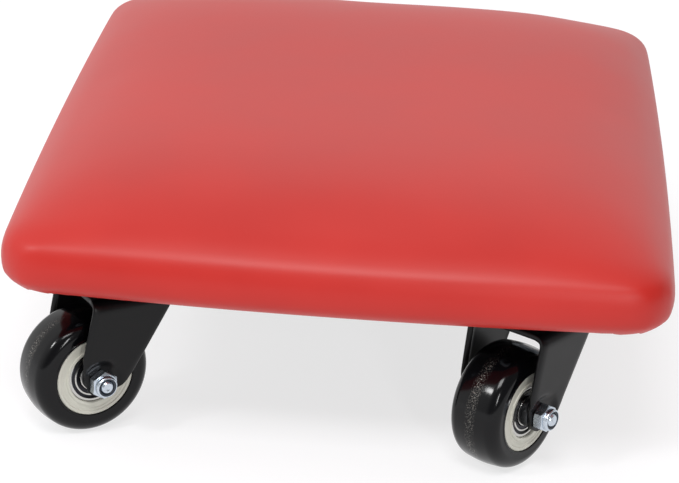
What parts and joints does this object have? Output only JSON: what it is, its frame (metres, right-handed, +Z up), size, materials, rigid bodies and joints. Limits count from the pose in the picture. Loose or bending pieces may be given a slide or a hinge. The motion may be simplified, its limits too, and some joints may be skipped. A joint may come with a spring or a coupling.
{
  "type": "mechanics creeper seat",
  "caption": "Low rolling garage seat: a padded, vinyl covered board on swivel casters with ball bearing wheels.",
  "frame": {"origin": "on the floor under the middle of the seat", "axes": "+X across the seat to its right, +Y from the front edge to the back edge, +Z up"},
  "size_m": [0.264, 0.335, 0.1116],
  "materials": {
    "vinyl": "soft satin, fine grain",
    "foam": "matt open cell",
    "plywood": "sanded, unvarnished",
    "dust_cloth": "matt non-woven",
    "zinc_steel": "bright zinc plate",
    "bearing_steel": "ground and polished",
    "black_steel": "satin black coating",
    "core_plastic": "moulded, faint turned rings",
    "tyre_rubber": "glossy cast polyurethane"
  },
  "bodies": {
    "root": {"base_board": "plywood", "foam_core": "foam", "vinyl_cover": "vinyl", "dust_cover": "dust_cloth", "cover_staples": "zinc_steel", "plate_screws": "zinc_steel", "front_left_top_plate": "black_steel", "front_left_kingpin": "zinc_steel", "front_left_lower_race": "zinc_steel", "front_right_top_plate": "black_steel", "front_right_kingpin": "zinc_steel", "front_right_lower_race": "zinc_steel", "rear_left_top_plate": "black_steel", "rear_left_kingpin": "zinc_steel", "rear_left_lower_race": "zinc_steel", "rear_right_top_plate": "black_steel", "rear_right_kingpin": "zinc_steel", "rear_right_lower_race": "zinc_steel"},
    "front_left_swivel": {"front_left_fork": "black_steel", "front_left_swivel_balls": "bearing_steel", "front_left_axle_bolt": "zinc_steel", "front_left_lock_nut": "zinc_steel", "front_left_axle_spacers": "zinc_steel", "front_left_bearing_inner_rings": "bearing_steel"},
    "front_left_wheel": {"front_left_bearing_balls": "bearing_steel", "front_left_bearing_outer_rings": "bearing_steel", "front_left_wheel_core": "core_plastic", "front_left_tyre": "tyre_rubber"},
    "front_right_swivel": {"front_right_fork": "black_steel", "front_right_swivel_balls": "bearing_steel", "front_right_axle_bolt": "zinc_steel", "front_right_lock_nut": "zinc_steel", "front_right_axle_spacers": "zinc_steel", "front_right_bearing_inner_rings": "bearing_steel"},
    "front_right_wheel": {"front_right_bearing_balls": "bearing_steel", "front_right_bearing_outer_rings": "bearing_steel", "front_right_wheel_core": "core_plastic", "front_right_tyre": "tyre_rubber"},
    "rear_left_swivel": {"rear_left_fork": "black_steel", "rear_left_swivel_balls": "bearing_steel", "rear_left_axle_bolt": "zinc_steel", "rear_left_lock_nut": "zinc_steel", "rear_left_axle_spacers": "zinc_steel", "rear_left_bearing_inner_rings": "bearing_steel"},
    "rear_left_wheel": {"rear_left_bearing_balls": "bearing_steel", "rear_left_bearing_outer_rings": "bearing_steel", "rear_left_wheel_core": "core_plastic", "rear_left_tyre": "tyre_rubber"},
    "rear_right_swivel": {"rear_right_fork": "black_steel", "rear_right_swivel_balls": "bearing_steel", "rear_right_axle_bolt": "zinc_steel", "rear_right_lock_nut": "zinc_steel", "rear_right_axle_spacers": "zinc_steel", "rear_right_bearing_inner_rings": "bearing_steel"},
    "rear_right_wheel": {"rear_right_bearing_balls": "bearing_steel", "rear_right_bearing_outer_rings": "bearing_steel", "rear_right_wheel_core": "core_plastic", "rear_right_tyre": "tyre_rubber"}
  },
  "joints": [
    {"name": "front_left_swivel_turn", "type": "hinge", "parent": "root", "child": "front_left_swivel", "pos_m": [-0.082, -0.1155, 0.06], "axis": [0, 0, 1], "continuous": true},
    {"name": "front_left_wheel_spin", "type": "hinge", "parent": "front_left_swivel", "child": "front_left_wheel", "pos_m": [-0.10024, -0.1278, 0.025], "axis": [0.5592, -0.829, 0], "continuous": true},
    {"name": "front_right_swivel_turn", "type": "hinge", "parent": "root", "child": "front_right_swivel", "pos_m": [0.082, -0.1155, 0.06], "axis": [0, 0, 1], "continuous": true},
    {"name": "front_right_wheel_spin", "type": "hinge", "parent": "front_right_swivel", "child": "front_right_wheel", "pos_m": [0.06938, -0.13352, 0.025], "axis": [0.8192, -0.5736, 0], "continuous": true},
    {"name": "rear_left_swivel_turn", "type": "hinge", "parent": "root", "child": "rear_left_swivel", "pos_m": [-0.082, 0.1155, 0.06], "axis": [0, 0, 1], "continuous": true},
    {"name": "rear_left_wheel_spin", "type": "hinge", "parent": "rear_left_swivel", "child": "rear_left_wheel", "pos_m": [-0.10267, 0.10798, 0.025], "axis": [0.342, -0.9397, 0], "continuous": true},
    {"name": "rear_right_swivel_turn", "type": "hinge", "parent": "root", "child": "rear_right_swivel", "pos_m": [0.082, 0.1155, 0.06], "axis": [0, 0, 1], "continuous": true},
    {"name": "rear_right_wheel_spin", "type": "hinge", "parent": "rear_right_swivel", "child": "rear_right_wheel", "pos_m": [0.07376, 0.0951, 0.025], "axis": [0.9272, -0.3746, 0], "continuous": true}
  ]
}
